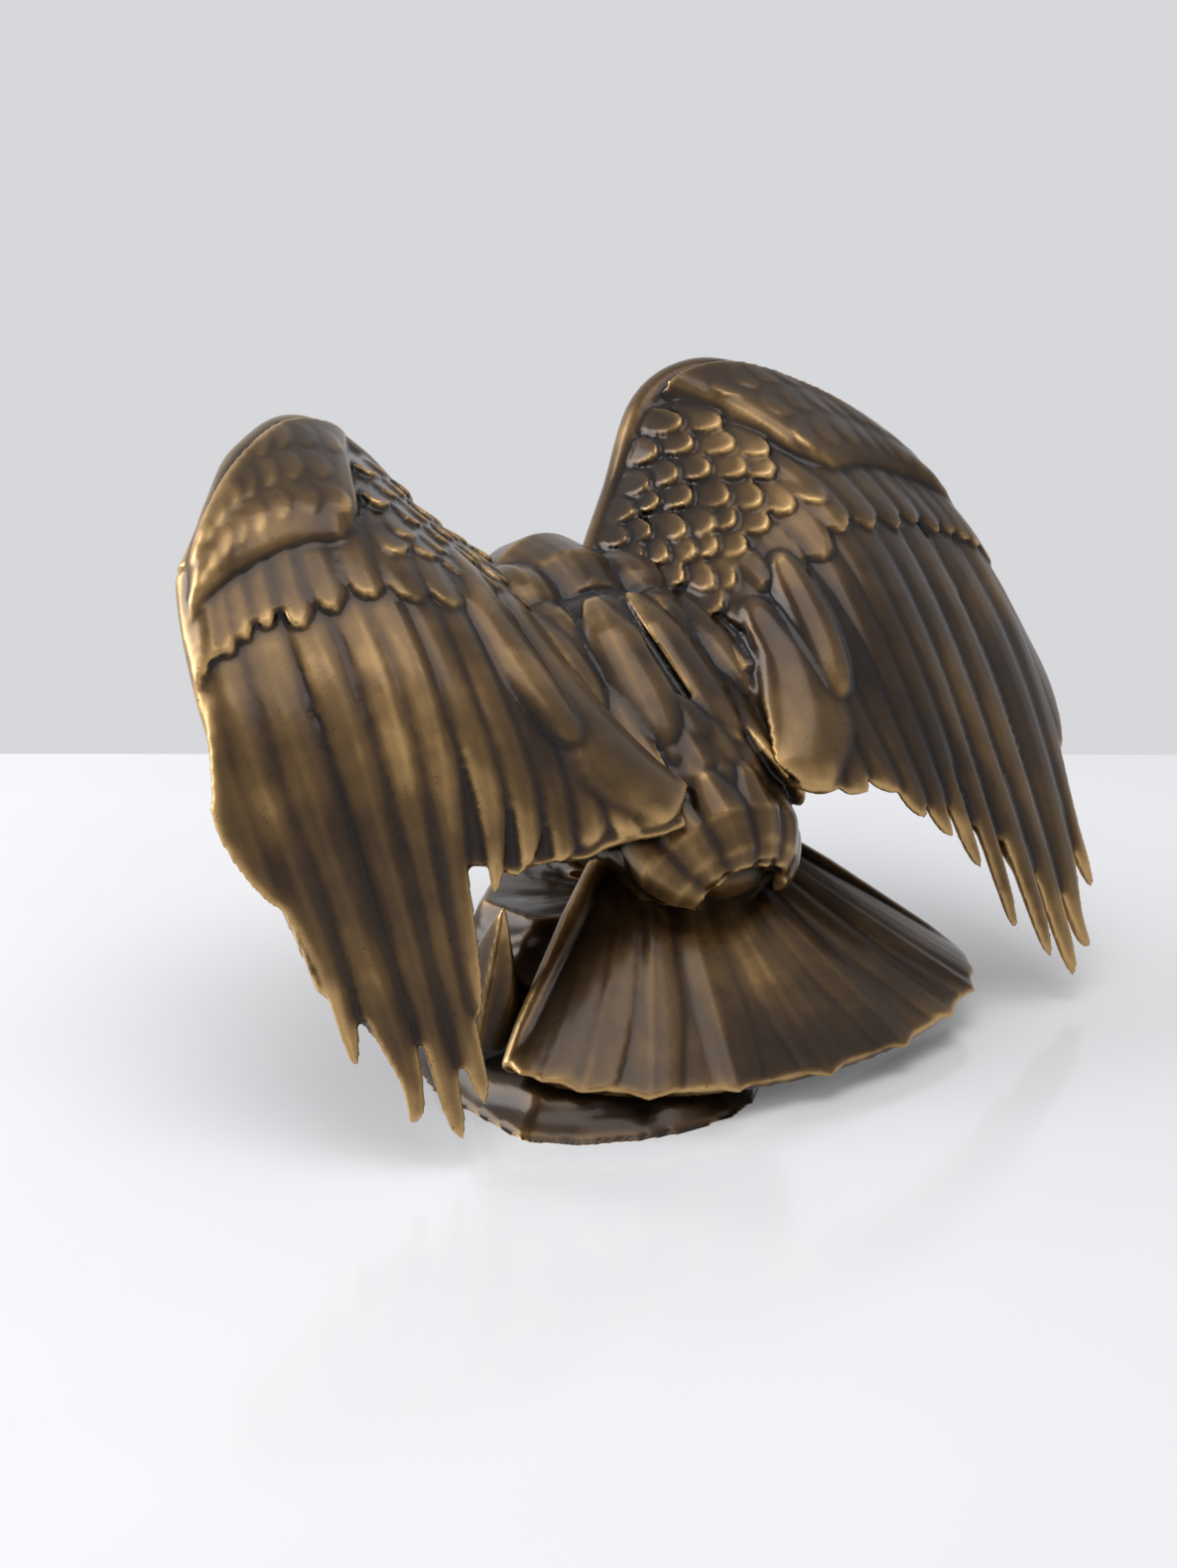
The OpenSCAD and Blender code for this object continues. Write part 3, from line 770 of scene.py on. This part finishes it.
def patinated_brass(name, dark=0.0):
    """Lacquered brass: near black in the hollows, brown on the faces and gold where it is rubbed. A positive
    dark lowers the whole ramp for painted shade; a negative dark raises it for painted light.
    """
    m = Shader(name)
    cloud = m.noise(32, 3.0)
    grain = m.noise(420, 4.0, 0.6)
    streak = m.noise(70, 5.0, 0.6, (1.0, 0.35, 0.35))
    level = m.math("MULTIPLY", m.stored("fine"), FINE_SHARE)
    level = m.math("ADD", level, m.math("MULTIPLY", m.stored("broad"), BROAD_SHARE))
    level = m.math("ADD", level, m.span(cloud, 0.3, 0.7, -0.11, 0.15))
    level = m.math("ADD", level, m.span(streak, 0.3, 0.7, -0.05, 0.05))
    # dark shifts the whole ramp: painted shade when positive, painted light when negative.
    level = m.math("ADD", level, -dark)
    colour = m.colours(level, [(0.16, RECESS), (0.36, SHADE), (0.50, BRONZE), (0.64, RUBBED), (0.86, BARE)])
    specks = m.span(m.noise(900, 2.0), 0.68, 0.74)
    mix = m.tree.nodes.new("ShaderNodeMix")
    mix.data_type = "RGBA"
    m.link(m.math("MULTIPLY", specks, 0.55), mix.inputs[0])
    m.link(colour, mix.inputs[6])
    mix.inputs[7].default_value = (*RECESS, 1)
    m.link(mix.outputs[2], m.main.inputs["Base Color"])
    m.main.inputs["Metallic"].default_value = 0.82
    m.link(m.span(cloud, 0.3, 0.7, 0.27, 0.42), m.main.inputs["Roughness"])
    m.main.inputs["Coat Weight"].default_value = 0.42
    m.main.inputs["Coat Roughness"].default_value = 0.16
    m.main.inputs["Coat IOR"].default_value = 1.45
    m.bump(grain, 0.10, 0.0006)
    return m.material


def plated_steel(name):
    """Bright plating, duller in patches."""
    m = Shader(name)
    tone = m.noise(260, 4.0, 0.6)
    colour = m.colours(tone, [(0.30, STEEL_DULL), (0.55, STEEL), (0.75, STEEL_BRIGHT)])
    m.link(colour, m.main.inputs["Base Color"])
    m.main.inputs["Metallic"].default_value = 1.0
    m.link(m.span(tone, 0.3, 0.7, 0.28, 0.48), m.main.inputs["Roughness"])
    m.bump(m.noise(1500, 2.0), 0.12, 0.0004)
    return m.material


def glossy_table(name):
    """A smooth pale table top that reflects a little."""
    m = Shader(name)
    tone = m.noise(6, 3.0)
    m.link(m.colours(tone, [(0.35, TABLE_COOL), (0.70, TABLE_PALE)]), m.main.inputs["Base Color"])
    m.link(m.span(tone, 0.3, 0.7, 0.10, 0.15), m.main.inputs["Roughness"])
    m.main.inputs["Specular IOR Level"].default_value = 0.45
    return m.material


# ---------------------------------------------------------------- the object

brass = patinated_brass("patinated_brass")
# A copy darker all over: painted shade for the rock and the legs in the shadow under the bird.
painted_shade_brass = patinated_brass("painted_shade_patinated_brass", dark=0.07)
# A copy brighter all over: painted light for the left wing, which faces the window lamp.
painted_light_brass = patinated_brass("painted_light_patinated_brass", dark=-0.06)
# Which castings get the copies with painted shade and painted light; the rest get the plain brass.
LIT_AND_SHADED_COPIES = {
    "rock_base": painted_shade_brass,
    "left_leg": painted_shade_brass,
    "right_leg": painted_shade_brass,
    "left_wing": painted_light_brass,
}
steel = plated_steel("plated_steel")

CASTINGS = [
    (build_wing("wing_left", LEFT_WRIST_DROP, False), "left_wing"),
    (build_wing("wing_right", 0.0, True), "right_wing"),
    (build_tail(), "tail"),
    (build_body(), "body"),
    (build_leg("leg_left", 1), "left_leg"),
    (build_leg("leg_right", -1), "right_leg"),
    (build_rock(), "rock_base"),
]
for piece, node in CASTINGS:
    relief(piece)
    piece.data.materials.clear()
    piece.data.materials.append(LIT_AND_SHADED_COPIES.get(node, brass))
    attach(piece, "root")
    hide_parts(node)

for node in ("shank_washers", "shank_nuts", "wing_set_screws", "tail_screw"):
    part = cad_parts[node]
    part.data.materials.clear()
    part.data.materials.append(steel)

# ---------------------------------------------------------------- stage, light and camera


def flat_sheet(name, corners, material):
    mesh = bpy.data.meshes.new(name)
    mesh.from_pydata(corners, [], [(0, 1, 2, 3)])
    sheet = bpy.data.objects.new(name, mesh)
    mesh.materials.append(material)
    bpy.context.collection.objects.link(sheet)
    return sheet


# The camera stands behind the bird, at its left. Its heading is anticlockwise from +Y, in degrees.
CAMERA_AT = Vector((0.2825, 0.4190, 0.2046))
CAMERA_HEADING, CAMERA_PITCH, CAMERA_ROLL = 147.384, -17.072, 0.058
CAMERA_LENS = 54.68

view = (Matrix.Rotation(math.radians(CAMERA_HEADING), 4, "Z")
        @ Matrix.Rotation(math.radians(90 + CAMERA_PITCH), 4, "X")
        @ Matrix.Rotation(math.radians(CAMERA_ROLL), 4, "Z"))
level_ahead = Vector((-view.col[2].x, -view.col[2].y, 0)).normalized()
level_right = Vector((view.col[0].x, view.col[0].y, 0)).normalized()
# The table's far edge, in metres ahead of the camera.
TABLE_END = 0.697


def on_table(ahead, right, z=0.0):
    """A place in metres ahead of the camera and to its right, at a height above the table."""
    spot = Vector((CAMERA_AT.x, CAMERA_AT.y, 0)) + level_ahead * ahead + level_right * right
    return (spot.x, spot.y, z)


corners = [on_table(-1.0, -2.0), on_table(-1.0, 2.0), on_table(TABLE_END, 2.0), on_table(TABLE_END, -2.0)]
flat_sheet("table_top", corners, glossy_table("glossy_table"))


def area_light(name, spot, target, size, watts, colour=(1, 1, 1)):
    data = bpy.data.lights.new(name, "AREA")
    data.shape = "RECTANGLE"
    data.size, data.size_y = size
    data.energy = watts
    data.color = colour
    lamp = bpy.data.objects.new(name, data)
    lamp.location = spot
    lamp.rotation_mode = "QUATERNION"
    lamp.rotation_quaternion = (Vector(target) - Vector(spot)).to_track_quat("-Z", "Y")
    bpy.context.collection.objects.link(lamp)


# The middle of the object, where the lights aim.
HEART = (0.0, 0.0, 0.06)
area_light("window_left", on_table(0.62, -0.90, 0.50), HEART, (0.55, 0.7), 7.5, (0.96, 0.98, 1.0))
area_light("soft_top", on_table(0.40, 0.05, 1.25), HEART, (0.9, 0.7), 5.0)
area_light("fill_behind_camera", on_table(-0.7, 0.5, 0.8), HEART, (1.0, 0.9), 0.8, (1.0, 0.98, 0.95))

world = bpy.data.worlds.new("soft_room")
world.use_nodes = True
world.node_tree.nodes["Background"].inputs["Color"].default_value = (0.83, 0.835, 0.86, 1)
world.node_tree.nodes["Background"].inputs["Strength"].default_value = 0.82
bpy.context.scene.world = world

camera_data = bpy.data.cameras.new("camera")
camera_data.lens = CAMERA_LENS
camera_data.sensor_width = 36.0
camera_data.clip_start, camera_data.clip_end = 0.01, 20
camera = bpy.data.objects.new("camera", camera_data)
bpy.context.collection.objects.link(camera)
camera.matrix_world = Matrix.Translation(CAMERA_AT) @ view
bpy.context.scene.camera = camera
bpy.context.scene.view_settings.view_transform = "Standard"
